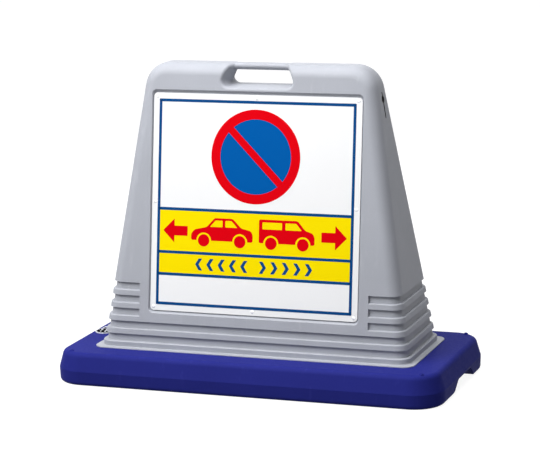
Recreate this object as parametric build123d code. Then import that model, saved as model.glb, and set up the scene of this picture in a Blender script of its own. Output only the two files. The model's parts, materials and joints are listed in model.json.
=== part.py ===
"""Free-standing parking sign stand.

A hollow wedge-shaped body carries a square sign board on each broad face and stands on a hollow,
fillable base tank. Two hand knobs under the tank hold the body down. A stopper with a pull loop
closes the filler at the left end of the tank.

Millimetres. X runs along the stand, -Y is the front, +Z is up, and the origin is on the floor
under the middle of the base.
"""
import os
from math import cos, hypot, radians, sin, tan

from build123d import *

# Sign boards
PANEL_SIZE = 400.0
PANEL_THICKNESS = 3.0
PANEL_CORNER_RADIUS = 7.0
PRINT_THICKNESS = 0.3
RECESS_DEPTH = 6.0
RECESS_GAP = 0.8
RECESS_SIDE_SLOPE = 2.0
RECESS_END_SLOPE = 5.0
RECESS_RIM_ROUND = 1.2

# Wedge body, sized round its boards: PANEL_FOOT_RISE is below a board, HEAD_HEIGHT is above it, and
# TOP_END_MARGIN is how far the top of the body reaches past a board at each end
PANEL_FOOT_RISE = 72.5
HEAD_HEIGHT = 53.4
TOP_END_MARGIN = 17.0
TOP_DEPTH = 62.0
END_LEAN = 8.7
FACE_LEAN = 8.0
BODY_WALL = 3.5
BODY_CORNER_RADIUS = 23.0
SHOULDER_RADIUS = 48.0

# Base tank, sized by its margins round the body
BASE_END_MARGIN = 73.1
BASE_SIDE_MARGIN = 70.0
BASE_HEIGHT = 60.0
BASE_CORNER_RADIUS = 56.0
BASE_WALL = 4.0
PARTING_HEIGHT = 27.0
UPPER_SIDE_SLOPE = 9.5
LOWER_SIDE_SLOPE = 1.0
TOP_EDGE_ROUND = 11.0
FOOT_EDGE_ROUND = 8.0

# Hand notch under each end of the tank
NOTCH_OFFSET_Y = 11.5
NOTCH_HEIGHT = 23.0
NOTCH_ROOF_WIDTH = 83.0
NOTCH_FOOT_WIDTH = 145.0
NOTCH_DEPTH = 46.0
NOTCH_ROOF_ROUND = 12.0
NOTCH_FOOT_ROUND = 30.0

# Stacking pips on the corners of the tank
PIP_INSET_X = 35.0
PIP_INSET_Y = 24.5
PIP_RADIUS = 5.0
PIP_HEIGHT = 3.0

# Flange round the foot of the body, and the plinth of the tank that locates it
FLANGE_WIDTH = 11.2
FLANGE_CORNER_RADIUS = 21.0
FLANGE_THICKNESS = 1.8
FLANGE_ROUND = 1.0
FLANGE_RIM_ROUND = 0.6
RIM_WIDTH = 10.0
PLINTH_HEIGHT = 5.0
PLINTH_SIDE_GAP = 1.5
PLINTH_TOP_GAP = 1.0

# Grooves round the skirt: those that pass under a board go all the way round
GROOVE_COUNT = 5
GROOVE_PITCH = 23.75
GROOVE_HEIGHT = 13.5
GROOVE_DEPTH = 4.5
LEDGE_CHAMFER_SHARE = 0.32
LOWEST_GROOVE_RISE = 25.6
SHORT_GROOVE_MARGIN = 20.7
FOOT_BAND_STEP = 0.8

# Hand hole through the top of the body
HANDLE_BAR_HEIGHT = 13.1
HANDLE_THROAT_HEIGHT = 25.0
HANDLE_THROAT_FOOT_WIDTH = 124.0
HANDLE_THROAT_ROOF_WIDTH = 100.0
HANDLE_THROAT_FLOOR_ROUND = 3.0
HANDLE_THROAT_ROOF_ROUND = 3.0
HANDLE_FLARE_SIDE = 12.0
HANDLE_FLARE_ROOF = 15.0
HANDLE_FLARE_FLOOR = 4.0
HANDLE_MOUTH_MARGIN = 2.0
HANDLE_MOUTH_FLOOR_ROUND = 14.0
HANDLE_MOUTH_ROOF_ROUND = 10.0
HANDLE_WAIST_ROUND = 4.0
HANDLE_RIM_ROUND = 5.0

# Keyhole for a chain link in each end of the body
KEYHOLE_DROP = 60.7
KEYHOLE_RADIUS = 5.5
KEYHOLE_SLOT_WIDTH = 3.8
KEYHOLE_SLOT_ABOVE = 12.6
KEYHOLE_SLOT_BELOW = 34.0

# Blind rivets that hold the boards
RIVET_EDGE_DISTANCE = 6.5
RIVET_HEAD_RADIUS = 3.25
RIVET_HEAD_HEIGHT = 1.5
RIVET_SHANK_RADIUS = 1.6
RIVET_HOLE_GAP = 0.1
RIVET_BULB_RADIUS = 2.6
RIVET_BULB_LENGTH = 3.0
STEM_RADIUS = 0.9
STEM_RECESS = 0.3

# Filler on the left margin of the tank
FILLER_OUTBOARD = 37.6
FILLER_Y = 0.0
COLLAR_BORE_RADIUS = 15.8
COLLAR_WALL = 1.4
COLLAR_FLANGE_WIDTH = 1.3
COLLAR_FLANGE_THICKNESS = 1.8
COLLAR_DEPTH = 15.0
STOPPER_GAP = 0.4
STOPPER_RECESS = 3.0
STOPPER_LENGTH = 15.0
STOPPER_SKIRT_WALL = 2.5
STOPPER_CROWN = 3.5
STOPPER_NOSE_CHAMFER = 1.5
SEAL_WIRE_RADIUS = 1.2
SEAL_GAP = 0.05
SEAL_DROP = 6.0

# Pull loop on the stopper
LOOP_WIRE_RADIUS = 1.2
LOOP_LEG_SPACING = 9.0
LOOP_LEG_LENGTH = 13.5
LOOP_REST_ANGLE = 14.0
LOOP_PIVOT_GAP = 0.05
LOOP_SIDE_GAP = 0.4
LOOP_PIN_ENGAGEMENT = 2.0
LOOP_PIVOT_FORWARD = 9.0
LOOP_STOP_LENGTH = 3.0
LOOP_STOP_GAP = 0.3
LUG_THICKNESS = 5.0
LUG_PIVOT_HEIGHT = 3.4

# Hold-down knobs under the tank
KNOB_SPACING = 380.0
KNOB_RADIUS = 24.0
KNOB_LOBES = 5
KNOB_LOBE_RADIUS = 9.0
KNOB_HEIGHT = 14.0
KNOB_EDGE_ROUND = 2.0
KNOB_HUB_RADIUS = 14.5
KNOB_HUB_HEIGHT = 4.0
KNOB_FINGER_ROOM = 9.0
WELL_HEIGHT = 34.0
STUD_RADIUS = 4.0
STUD_IN_KNOB = 12.0
STUD_REACH = 14.0
STUD_CLEARANCE = 0.5
WASHER_RADIUS = 20.0
WASHER_THICKNESS = 2.0

# Threaded inserts in the floor of the body, and the spigots round them that drop into the tank
INSERT_RADIUS = 6.0
INSERT_LENGTH = 18.0
INSERT_BORE_GAP = 0.05
INSERT_GROOVE_DEPTH = 0.6
INSERT_GROOVE_WIDTH = 2.0
BOSS_WALL = 8.0
SPIGOT_DROP = 12.0
SPIGOT_GAP = 0.8

# Sizes that follow from those above
PANEL_RISE = PANEL_SIZE * cos(radians(FACE_LEAN))
BODY_HEIGHT = PANEL_FOOT_RISE + PANEL_RISE + HEAD_HEIGHT
BODY_FOOT_LENGTH = PANEL_SIZE + 2 * (TOP_END_MARGIN + BODY_HEIGHT * tan(radians(END_LEAN)))
BODY_FOOT_DEPTH = TOP_DEPTH + 2 * BODY_HEIGHT * tan(radians(FACE_LEAN))
BASE_LENGTH = BODY_FOOT_LENGTH + 2 * BASE_END_MARGIN
BASE_WIDTH = BODY_FOOT_DEPTH + 2 * BASE_SIDE_MARGIN
SEAT_HEIGHT = BASE_HEIGHT
OVERALL_HEIGHT = SEAT_HEIGHT + BODY_HEIGHT
PANEL_CENTRE_HEIGHT = SEAT_HEIGHT + PANEL_FOOT_RISE + PANEL_RISE / 2
LOWEST_GROOVE_TOP = SEAT_HEIGHT + LOWEST_GROOVE_RISE
LEDGE_CHAMFER = LEDGE_CHAMFER_SHARE * GROOVE_DEPTH
SHORT_GROOVE_START = PANEL_SIZE / 2 + SHORT_GROOVE_MARGIN
HANDLE_THROAT_ROOF = OVERALL_HEIGHT - HANDLE_BAR_HEIGHT
HANDLE_THROAT_FLOOR = HANDLE_THROAT_ROOF - HANDLE_THROAT_HEIGHT
KEYHOLE_HEIGHT = OVERALL_HEIGHT - KEYHOLE_DROP
FLOOR_UNDERSIDE = SEAT_HEIGHT + PLINTH_HEIGHT + PLINTH_TOP_GAP
FLOOR_TOP = FLOOR_UNDERSIDE + BODY_WALL
SPIGOT_FOOT = FLOOR_UNDERSIDE - SPIGOT_DROP
BOSS_RADIUS = INSERT_RADIUS + BOSS_WALL
SOCKET_RADIUS = BOSS_RADIUS + SPIGOT_GAP
FILLER_X = -BODY_FOOT_LENGTH / 2 - FILLER_OUTBOARD
COLLAR_RADIUS = COLLAR_BORE_RADIUS + COLLAR_WALL
COLLAR_FLANGE_RADIUS = COLLAR_RADIUS + COLLAR_FLANGE_WIDTH
WELL_RADIUS = KNOB_RADIUS + KNOB_FINGER_ROOM
BEYOND = BASE_LENGTH + BASE_WIDTH + OVERALL_HEIGHT
SIDES = (-1, 1)


def save(shape, name):
    """Write one node of the part."""
    export_step(Compound(children=list(shape.solids()), label=name), f"parts/{name}.step")


def half_length(height):
    """Half the body's length at a height, on its leaning ends."""
    return BODY_FOOT_LENGTH / 2 - (height - SEAT_HEIGHT) * tan(radians(END_LEAN))


def half_depth(height):
    """Half the body's depth at a height, on its leaning faces."""
    return BODY_FOOT_DEPTH / 2 - (height - SEAT_HEIGHT) * tan(radians(FACE_LEAN))


def face_plane(side, height):
    """The plane of the front (-1) or rear (1) face: local Z points out, local Y up the slope."""
    lean = radians(FACE_LEAN)
    origin = (0, side * half_depth(height), height)
    return Plane(origin, x_dir=(-side, 0, 0), z_dir=(0, side * cos(lean), sin(lean)))


def end_plane(side, height):
    """The plane of the left (-1) or right (1) end: local Z points out, local Y up the slope."""
    lean = radians(END_LEAN)
    origin = (side * half_length(height), 0, height)
    return Plane(origin, x_dir=(0, side, 0), z_dir=(side * cos(lean), 0, sin(lean)))


def trapezium(plane, foot_half, top_half, foot, top):
    """A face with level foot and top edges, standing on a vertical plane."""
    corners = [(-foot_half, foot), (foot_half, foot), (top_half, top), (-top_half, top)]
    return plane * make_face(Polyline(*corners, close=True))


def body_form(inset, foot):
    """The wedge of the body with its rounded edges, moved in by inset and cut off at foot."""
    top = OVERALL_HEIGHT - inset
    end_inset = inset / cos(radians(END_LEAN))
    face_inset = inset / cos(radians(FACE_LEAN))
    foot_half, top_half = half_length(foot) - end_inset, half_length(top) - end_inset
    front_view = trapezium(Plane.XZ, foot_half, top_half, foot, top)
    shoulders = front_view.vertices().group_by(Axis.Z)[-1]
    front_view = fillet(shoulders, SHOULDER_RADIUS - inset)
    foot_half, top_half = half_depth(foot) - face_inset, half_depth(top) - face_inset
    side_view = trapezium(Plane.YZ, foot_half, top_half, foot, top)
    form = extrude(front_view, BEYOND, both=True) & extrude(side_view, BEYOND, both=True)
    edges = []
    for face in (form.faces().sort_by(Axis.Y)[0], form.faces().sort_by(Axis.Y)[-1]):
        edges += face.edges().sort_by(Axis.Z)[1:]
    return fillet(edges, BODY_CORNER_RADIUS - inset)


def groove_tops():
    """Heights of the grooves' upper edges, from the lowest up."""
    return [LOWEST_GROOVE_TOP + index * GROOVE_PITCH for index in range(GROOVE_COUNT)]


def recess_foot():
    """Height of the lower rim of a board's recess."""
    reach = PANEL_SIZE / 2 + RECESS_GAP + RECESS_END_SLOPE + RECESS_RIM_ROUND
    return PANEL_CENTRE_HEIGHT - reach * cos(radians(FACE_LEAN))


def grooved_form(inset, foot):
    """The body's form with its grooves, for the outside (inset 0) or the hollow (inset of a wall)."""
    slabs = []
    for top in groove_tops():
        height = GROOVE_HEIGHT + 2 * inset
        slab = Pos(0, 0, top - GROOVE_HEIGHT / 2) * Box(BEYOND, BEYOND, height)
        if top > recess_foot():
            slab -= Box(2 * (SHORT_GROOVE_START - inset), BEYOND, BEYOND)
        slabs.append(slab)
    core = body_form(inset + GROOVE_DEPTH, foot)
    form = body_form(inset, foot)
    for slab in slabs:
        form -= slab - core
    return form


def ledge_edges(form):
    """The outer edges of the ledges at the bottom of the grooves."""
    edges = []
    for top in groove_tops():
        level = top - GROOVE_HEIGHT
        near = form.edges().filter_by_position(Axis.Z, level - 0.01, level + 0.01)
        for edge in near:
            middle = edge @ 0.5
            end_gap = half_length(level) - abs(middle.X)
            face_gap = half_depth(level) - abs(middle.Y)
            on_flat = min(end_gap, face_gap) < GROOVE_DEPTH / 2
            corner_gap = hypot(end_gap - BODY_CORNER_RADIUS, face_gap - BODY_CORNER_RADIUS)
            on_corner = corner_gap > BODY_CORNER_RADIUS - GROOVE_DEPTH / 2
            if on_flat or (edge.geom_type != GeomType.LINE and on_corner):
                edges.append(edge)
    return edges


def handle_outline(side, grow):
    """The hand hole's outline at its throat (side 0) or at a mouth, grown by a wall where grow isn't 0."""
    flare = abs(side)
    foot_half = HANDLE_THROAT_FOOT_WIDTH / 2 + flare * HANDLE_FLARE_SIDE + grow
    roof_half = HANDLE_THROAT_ROOF_WIDTH / 2 + flare * HANDLE_FLARE_SIDE + grow
    floor = HANDLE_THROAT_FLOOR - flare * HANDLE_FLARE_FLOOR - grow
    roof = HANDLE_THROAT_ROOF + flare * HANDLE_FLARE_ROOF + grow
    floor_round = HANDLE_MOUTH_FLOOR_ROUND if side else HANDLE_THROAT_FLOOR_ROUND
    roof_round = HANDLE_MOUTH_ROOF_ROUND if side else HANDLE_THROAT_ROOF_ROUND
    face = trapezium(Plane.XZ, foot_half, roof_half, floor, roof)
    face = fillet(face.vertices().group_by(Axis.Z)[0], floor_round + grow)
    face = fillet(face.vertices().group_by(Axis.Z)[-1], roof_round + grow)
    mouth_depth = half_depth(HANDLE_THROAT_FLOOR - HANDLE_FLARE_FLOOR) + HANDLE_MOUTH_MARGIN
    return Pos(0, side * mouth_depth, 0) * face


def handle_form(grow):
    """The waisted hand hole, grown by a wall where grow isn't 0."""
    front = loft([handle_outline(-1, grow), handle_outline(0, grow)], ruled=True)
    rear = loft([handle_outline(0, grow), handle_outline(1, grow)], ruled=True)
    form = front + rear
    waist = form.edges().filter_by_position(Axis.Y, -1e-3, 1e-3)
    return fillet(waist, HANDLE_WAIST_ROUND)


def recess_form(side, grow):
    """The recess for a sign board, with sloping walls, grown by a wall where grow isn't 0."""
    plane = face_plane(side, PANEL_CENTRE_HEIGHT)
    floor_size = PANEL_SIZE + 2 * (RECESS_GAP + grow)
    corner = PANEL_CORNER_RADIUS + RECESS_GAP + grow
    floor = RectangleRounded(floor_size, floor_size, corner)
    mouth = RectangleRounded(floor_size + 4 * RECESS_SIDE_SLOPE, floor_size + 4 * RECESS_END_SLOPE,
                             corner + RECESS_SIDE_SLOPE)
    low = -RECESS_DEPTH - grow
    return plane * loft([Pos(0, 0, low) * floor, Pos(0, 0, low + 2 * RECESS_DEPTH) * mouth], ruled=True)


def rivet_spots(side):
    """Places of the rivets on one board: the corners and the middles of its edges."""
    plane = face_plane(side, PANEL_CENTRE_HEIGHT)
    reach = PANEL_SIZE / 2 - RIVET_EDGE_DISTANCE
    spots = []
    for column in (-1, 0, 1):
        for row in (-1, 0, 1):
            if (column, row) != (0, 0):
                spots.append(plane * Pos(column * reach, row * reach, -RECESS_DEPTH))
    return spots


def knob_spots():
    """Places of the knobs' axes on the floor, left then right."""
    return [Pos(side * KNOB_SPACING / 2, 0, 0) for side in SIDES]


def keyhole_form(side):
    """The round hole and narrow slot that take a chain link."""
    profile = Circle(KEYHOLE_RADIUS)
    slot_length = KEYHOLE_SLOT_ABOVE + KEYHOLE_SLOT_BELOW
    slot_middle = (KEYHOLE_SLOT_ABOVE - KEYHOLE_SLOT_BELOW) / 2
    profile += Pos(0, slot_middle) * SlotOverall(slot_length, KEYHOLE_SLOT_WIDTH, rotation=90)
    return end_plane(side, KEYHOLE_HEIGHT) * extrude(profile, 2 * BODY_WALL, both=True)


def shared_edges(result, first, second):
    """The edges of a result that lie on the outside of both solids that it came from."""
    reach = second.bounding_box()
    skins = first.shells()[0], second.shells()[0]
    edges = []
    for edge in result.edges():
        middle = edge @ 0.5
        near = all(low - 1 < at < high + 1 for low, at, high in zip(reach.min, middle, reach.max))
        if near and all(skin.distance_to(middle) < 1e-3 for skin in skins):
            edges.append(edge)
    return edges


def cut_rounded(solid, cutter, radius):
    """Cut a hollow into a solid and round the rim that it leaves."""
    cut = solid - cutter
    return fillet(shared_edges(cut, solid, cutter), radius)


def foot_flange():
    """The thin flange that spreads from the foot of the body over the tank."""
    outline = RectangleRounded(BODY_FOOT_LENGTH + 2 * FLANGE_WIDTH, BODY_FOOT_DEPTH + 2 * FLANGE_WIDTH,
                               FLANGE_CORNER_RADIUS)
    plate = Pos(0, 0, SEAT_HEIGHT) * extrude(outline, FLANGE_THICKNESS)
    return fillet(plate.edges().group_by(Axis.Z)[-1], FLANGE_RIM_ROUND)


def foot_band():
    """The upright lowest band of the skirt, which stands out past the bands above it."""
    outline = RectangleRounded(BODY_FOOT_LENGTH + 2 * FOOT_BAND_STEP, BODY_FOOT_DEPTH + 2 * FOOT_BAND_STEP,
                               BODY_CORNER_RADIUS + FOOT_BAND_STEP)
    height = LOWEST_GROOVE_TOP - GROOVE_HEIGHT - SEAT_HEIGHT
    return Pos(0, 0, SEAT_HEIGHT) * extrude(outline, height)


def body_outside():
    """The body as a solid block: grooved wedge with its flange, recesses and hand hole."""
    block = grooved_form(0, SEAT_HEIGHT) + foot_band()
    block = chamfer(ledge_edges(block), LEDGE_CHAMFER)
    flange = foot_flange()
    joined = block + flange
    block = fillet(shared_edges(joined, block, flange), FLANGE_ROUND)
    for side in SIDES:
        block = cut_rounded(block, recess_form(side, 0), RECESS_RIM_ROUND)
    return cut_rounded(block, handle_form(0), HANDLE_RIM_ROUND)


def body_hollow():
    """The room inside the body, one wall in from its outside, clear of the bar and the insert bosses."""
    hollow = grooved_form(BODY_WALL, FLOOR_TOP)
    for side in SIDES:
        hollow -= recess_form(side, BODY_WALL)
    hollow -= handle_form(BODY_WALL)
    bar_length = HANDLE_THROAT_ROOF_WIDTH + 2 * (HANDLE_FLARE_SIDE + BODY_WALL)
    hollow -= Pos(0, 0, OVERALL_HEIGHT) * Box(bar_length, BEYOND, 2 * HANDLE_BAR_HEIGHT)
    boss = bottom_cylinder(BOSS_RADIUS, INSERT_LENGTH + BOSS_WALL)
    for spot in knob_spots():
        hollow -= spot * Pos(0, 0, SPIGOT_FOOT) * boss
    return hollow


def body_shell():
    """The hollow body: open underneath, with its spigots and the holes for rivets, inserts and chain."""
    underside = RectangleRounded(BODY_FOOT_LENGTH - 2 * RIM_WIDTH, BODY_FOOT_DEPTH - 2 * RIM_WIDTH,
                                 BODY_CORNER_RADIUS - RIM_WIDTH)
    shell = body_outside() - body_hollow()
    shell -= Pos(0, 0, SEAT_HEIGHT) * extrude(underside, FLOOR_UNDERSIDE - SEAT_HEIGHT)
    for side in SIDES:
        shell -= keyhole_form(side)
        for spot in rivet_spots(side):
            shell -= spot * Cylinder(RIVET_SHANK_RADIUS + RIVET_HOLE_GAP, 4 * BODY_WALL)
    for spot in knob_spots():
        foot = spot * Pos(0, 0, SPIGOT_FOOT)
        shell += foot * bottom_cylinder(BOSS_RADIUS, SPIGOT_DROP + BODY_WALL / 2)
        shell -= foot * bottom_cylinder(INSERT_RADIUS, INSERT_LENGTH)
    return shell


def bottom_cylinder(radius, height):
    """A cylinder standing on its local XY plane."""
    return Cylinder(radius, height, align=(Align.CENTER, Align.CENTER, Align.MIN))


def ring(outer, inner, height):
    """A plain ring standing on its local XY plane."""
    return bottom_cylinder(outer, height) - bottom_cylinder(inner, height)


def sign_panel(side):
    """The board in a recess, drilled for its rivets."""
    board = RectangleRounded(PANEL_SIZE, PANEL_SIZE, PANEL_CORNER_RADIUS)
    seat = face_plane(side, PANEL_CENTRE_HEIGHT) * Pos(0, 0, -RECESS_DEPTH)
    panel = seat * extrude(board, PANEL_THICKNESS)
    for spot in rivet_spots(side):
        panel -= spot * Cylinder(RIVET_SHANK_RADIUS + RIVET_HOLE_GAP, 4 * PANEL_THICKNESS)
    return panel


def print_sheet(side):
    """The printed film on a board."""
    film = RectangleRounded(PANEL_SIZE, PANEL_SIZE, PANEL_CORNER_RADIUS)
    seat = face_plane(side, PANEL_CENTRE_HEIGHT) * Pos(0, 0, PANEL_THICKNESS - RECESS_DEPTH)
    sheet = seat * extrude(film, PRINT_THICKNESS)
    for spot in rivet_spots(side):
        sheet -= spot * Cylinder(RIVET_SHANK_RADIUS + RIVET_HOLE_GAP, 4 * PANEL_THICKNESS)
    return sheet


def rivet():
    """One blind rivet, standing on the recess floor: domed head, shank and set bulb."""
    face = PANEL_THICKNESS + PRINT_THICKNESS
    dome_radius = (RIVET_HEAD_RADIUS ** 2 + RIVET_HEAD_HEIGHT ** 2) / (2 * RIVET_HEAD_HEIGHT)
    dome = Pos(0, 0, face + RIVET_HEAD_HEIGHT - dome_radius) * Sphere(dome_radius)
    head = dome & Pos(0, 0, face) * bottom_cylinder(RIVET_HEAD_RADIUS, RIVET_HEAD_HEIGHT)
    shank = Pos(0, 0, -BODY_WALL) * bottom_cylinder(RIVET_SHANK_RADIUS, BODY_WALL + face)
    bulb = bottom_cylinder(RIVET_BULB_RADIUS, RIVET_BULB_LENGTH)
    bulb = Pos(0, 0, -BODY_WALL - RIVET_BULB_LENGTH) * bulb
    return head + shank + bulb - Cylinder(STEM_RADIUS, BEYOND)


def rivet_stem():
    """The broken-off stem left in a rivet."""
    low = -BODY_WALL - RIVET_BULB_LENGTH
    high = PANEL_THICKNESS + PRINT_THICKNESS + RIVET_HEAD_HEIGHT - STEM_RECESS
    return Pos(0, 0, low) * bottom_cylinder(STEM_RADIUS, high - low)


def on_each(spots, piece):
    """Copies of a piece at each spot, as separate solids."""
    return Compound([solid for spot in spots for solid in (spot * piece).solids()])


def tank_form(inset):
    """The tank's outside, or its hollow where inset is a wall."""
    outline = RectangleRounded(BASE_LENGTH - 2 * inset, BASE_WIDTH - 2 * inset, BASE_CORNER_RADIUS - inset)
    middle = Pos(0, 0, PARTING_HEIGHT) * outline
    upper_draft = UPPER_SIDE_SLOPE / (BASE_HEIGHT - PARTING_HEIGHT)
    lower_draft = LOWER_SIDE_SLOPE / PARTING_HEIGHT
    upper = extrude(middle, BASE_HEIGHT - PARTING_HEIGHT - inset, taper=draft_angle(upper_draft))
    lower = extrude(middle, PARTING_HEIGHT - inset, dir=(0, 0, -1), taper=draft_angle(lower_draft))
    return upper + lower


def draft_angle(slope):
    """Degrees of draft for a slope."""
    return Vector(1, slope, 0).get_angle(Vector(1, 0, 0))


def notch_form(side, grow):
    """The hand notch under one end of the tank, grown by a wall where grow isn't 0."""
    foot = NOTCH_FOOT_WIDTH / 2
    roof = NOTCH_ROOF_WIDTH / 2
    beside = NOTCH_FOOT_WIDTH
    corners = [(-beside, -beside), (-beside, 0), (-foot, 0), (-roof, NOTCH_HEIGHT),
               (roof, NOTCH_HEIGHT), (foot, 0), (beside, 0), (beside, -beside)]
    profile = Plane.YZ * make_face(Polyline(*corners, close=True))
    feet = [vertex for vertex in profile.vertices() if abs(vertex.Z) < 1e-6 and abs(vertex.Y) < beside]
    profile = fillet(feet, NOTCH_FOOT_ROUND)
    profile = fillet(profile.vertices().group_by(Axis.Z)[-1], NOTCH_ROOF_ROUND)
    if grow:
        profile = offset(profile, grow)
    inner_wall = BASE_LENGTH / 2 - NOTCH_DEPTH - grow
    prism = Pos(inner_wall, NOTCH_OFFSET_Y, 0) * extrude(profile, BASE_LENGTH)
    return prism if side > 0 else mirror(prism, about=Plane.YZ)


def plinth_form(inset):
    """The raised part of the tank's top that locates the body."""
    gap = RIM_WIDTH + PLINTH_SIDE_GAP + inset
    outline = RectangleRounded(BODY_FOOT_LENGTH - 2 * gap, BODY_FOOT_DEPTH - 2 * gap,
                               BODY_CORNER_RADIUS - gap)
    low = BASE_HEIGHT - BASE_WALL - inset
    return Pos(0, 0, low) * extrude(outline, BASE_HEIGHT + PLINTH_HEIGHT - inset - low)


def base_shell():
    """The hollow tank: drafted halves, plinth, pips, notches, wells, spigot sockets and filler hole."""
    outside = tank_form(0)
    outside = fillet(outside.edges().group_by(Axis.Z)[-1], TOP_EDGE_ROUND)
    outside = fillet(outside.edges().group_by(Axis.Z)[0], FOOT_EDGE_ROUND)
    hollow = tank_form(BASE_WALL)
    hollow = fillet(hollow.edges().group_by(Axis.Z)[-1], TOP_EDGE_ROUND - BASE_WALL)
    outside += plinth_form(0)
    hollow += plinth_form(BASE_WALL)
    pip_centre = BASE_HEIGHT + PIP_HEIGHT - PIP_RADIUS
    for place in GridLocations(BASE_LENGTH - 2 * PIP_INSET_X, BASE_WIDTH - 2 * PIP_INSET_Y, 2, 2):
        outside += place * Pos(0, 0, pip_centre) * Sphere(PIP_RADIUS)
    for side in SIDES:
        outside -= notch_form(side, 0)
        hollow -= notch_form(side, BASE_WALL)
    for spot in knob_spots():
        hollow -= spot * bottom_cylinder(WELL_RADIUS + BASE_WALL, WELL_HEIGHT + BASE_WALL)
        hollow -= spot * bottom_cylinder(SOCKET_RADIUS + BASE_WALL, OVERALL_HEIGHT)
    shell = outside - hollow
    for spot in knob_spots():
        shell -= spot * bottom_cylinder(WELL_RADIUS, WELL_HEIGHT)
        shell -= spot * bottom_cylinder(SOCKET_RADIUS, OVERALL_HEIGHT)
    filler_hole = bottom_cylinder(COLLAR_RADIUS, COLLAR_DEPTH)
    return shell - Pos(FILLER_X, FILLER_Y, BASE_HEIGHT - COLLAR_DEPTH) * filler_hole


def filler_seat():
    """The place of the filler's axis on top of the tank."""
    return Pos(FILLER_X, FILLER_Y, BASE_HEIGHT)


def stopper_top():
    """Height of the stopper's top above the tank."""
    return COLLAR_FLANGE_THICKNESS - STOPPER_RECESS


def filler_collar():
    """The flanged collar pressed into the filler hole."""
    flange = ring(COLLAR_FLANGE_RADIUS, COLLAR_BORE_RADIUS, COLLAR_FLANGE_THICKNESS)
    neck = Pos(0, 0, -COLLAR_DEPTH) * ring(COLLAR_RADIUS, COLLAR_BORE_RADIUS, COLLAR_DEPTH)
    return filler_seat() * (flange + neck)


def seal_centre_radius():
    """Radius of the seal's centre line."""
    return COLLAR_BORE_RADIUS - SEAL_GAP - SEAL_WIRE_RADIUS


def seal_height():
    """Height of the seal's centre line above the tank."""
    return stopper_top() - SEAL_DROP


def loop_pivot():
    """The place of the pull loop's pivot, from the filler's axis on top of the tank."""
    return Pos(0, -LOOP_PIVOT_FORWARD, stopper_top() + LUG_PIVOT_HEIGHT)


def loop_lug():
    """The lug that carries the pull loop, and the stop behind it that the loop rests over."""
    width = LOOP_LEG_SPACING - 2 * (LOOP_WIRE_RADIUS + LOOP_SIDE_GAP)
    head = Circle(LUG_THICKNESS / 2)
    stem = Pos(0, -LUG_PIVOT_HEIGHT / 2) * Rectangle(LUG_THICKNESS, LUG_PIVOT_HEIGHT)
    lug = extrude(Plane.YZ * (head + stem), width / 2, both=True)
    lean = radians(LOOP_REST_ANGLE)
    leg_underside = LUG_THICKNESS / 2 * tan(lean) - LOOP_WIRE_RADIUS / cos(lean)
    stop_height = LUG_PIVOT_HEIGHT + leg_underside - LOOP_STOP_GAP
    stop = Box(LOOP_LEG_SPACING + 2 * LOOP_WIRE_RADIUS, LOOP_STOP_LENGTH, stop_height,
               align=(Align.CENTER, Align.MIN, Align.MIN))
    lug += Pos(0, LUG_THICKNESS / 2, -LUG_PIVOT_HEIGHT) * stop
    return loop_pivot() * (lug - Rot(0, 90, 0) * Cylinder(LOOP_WIRE_RADIUS + LOOP_PIVOT_GAP, 2 * width))


def filler_stopper():
    """The hollow plug in the collar, with a groove for its seal and a lug for the pull loop."""
    low = stopper_top() - STOPPER_LENGTH
    plug = Pos(0, 0, low) * bottom_cylinder(COLLAR_BORE_RADIUS - STOPPER_GAP, STOPPER_LENGTH)
    plug = chamfer(plug.edges().group_by(Axis.Z)[0], STOPPER_NOSE_CHAMFER)
    groove_floor = seal_centre_radius() - SEAL_WIRE_RADIUS
    cavity = bottom_cylinder(groove_floor - STOPPER_SKIRT_WALL, STOPPER_LENGTH - STOPPER_CROWN)
    plug -= Pos(0, 0, low) * cavity
    plug -= Pos(0, 0, seal_height()) * Torus(seal_centre_radius(), SEAL_WIRE_RADIUS)
    return filler_seat() * (plug + loop_lug())


def stopper_seal():
    """The ring seal in the stopper's groove."""
    return filler_seat() * Pos(0, 0, seal_height()) * Torus(seal_centre_radius(), SEAL_WIRE_RADIUS)


def pull_loop():
    """The bent rod of the pull loop, leaning back from its pivot as it rests."""
    half = LOOP_LEG_SPACING / 2
    head = ThreePointArc((-half, LOOP_LEG_LENGTH), (0, LOOP_LEG_LENGTH + half), (half, LOOP_LEG_LENGTH))
    path = Line((-half, 0), head @ 0) + head + Line(head @ 1, (half, 0))
    rod = sweep(Plane((-half, 0, 0), z_dir=(0, 1, 0)) * Circle(LOOP_WIRE_RADIUS), path=path)
    pin_length = LOOP_WIRE_RADIUS + LOOP_SIDE_GAP + LOOP_PIN_ENGAGEMENT
    for side in SIDES:
        pin = Rot(0, -90 * side, 0) * bottom_cylinder(LOOP_WIRE_RADIUS, pin_length)
        rod += Pos(side * half, 0, 0) * (pin + Sphere(LOOP_WIRE_RADIUS))
    return filler_seat() * loop_pivot() * Rot(LOOP_REST_ANGLE, 0, 0) * rod


def knob_top():
    """Height of the knob's hub, under its washer."""
    return WELL_HEIGHT - WASHER_THICKNESS


def knob(spot):
    """A lobed hand knob with a hub that bears on its washer."""
    lobes = Circle(KNOB_RADIUS - KNOB_LOBE_RADIUS)
    for place in PolarLocations(KNOB_RADIUS - KNOB_LOBE_RADIUS, KNOB_LOBES):
        lobes += place * Circle(KNOB_LOBE_RADIUS)
    grip_top = knob_top() - KNOB_HUB_HEIGHT
    grip = Pos(0, 0, grip_top - KNOB_HEIGHT) * extrude(lobes, KNOB_HEIGHT)
    grip = fillet(grip.edges().group_by(Axis.Z)[0], KNOB_EDGE_ROUND)
    hub = Pos(0, 0, grip_top) * bottom_cylinder(KNOB_HUB_RADIUS, KNOB_HUB_HEIGHT)
    socket = Pos(0, 0, knob_top() - STUD_IN_KNOB) * bottom_cylinder(STUD_RADIUS, STUD_IN_KNOB)
    return spot * (grip + hub - socket)


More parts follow.
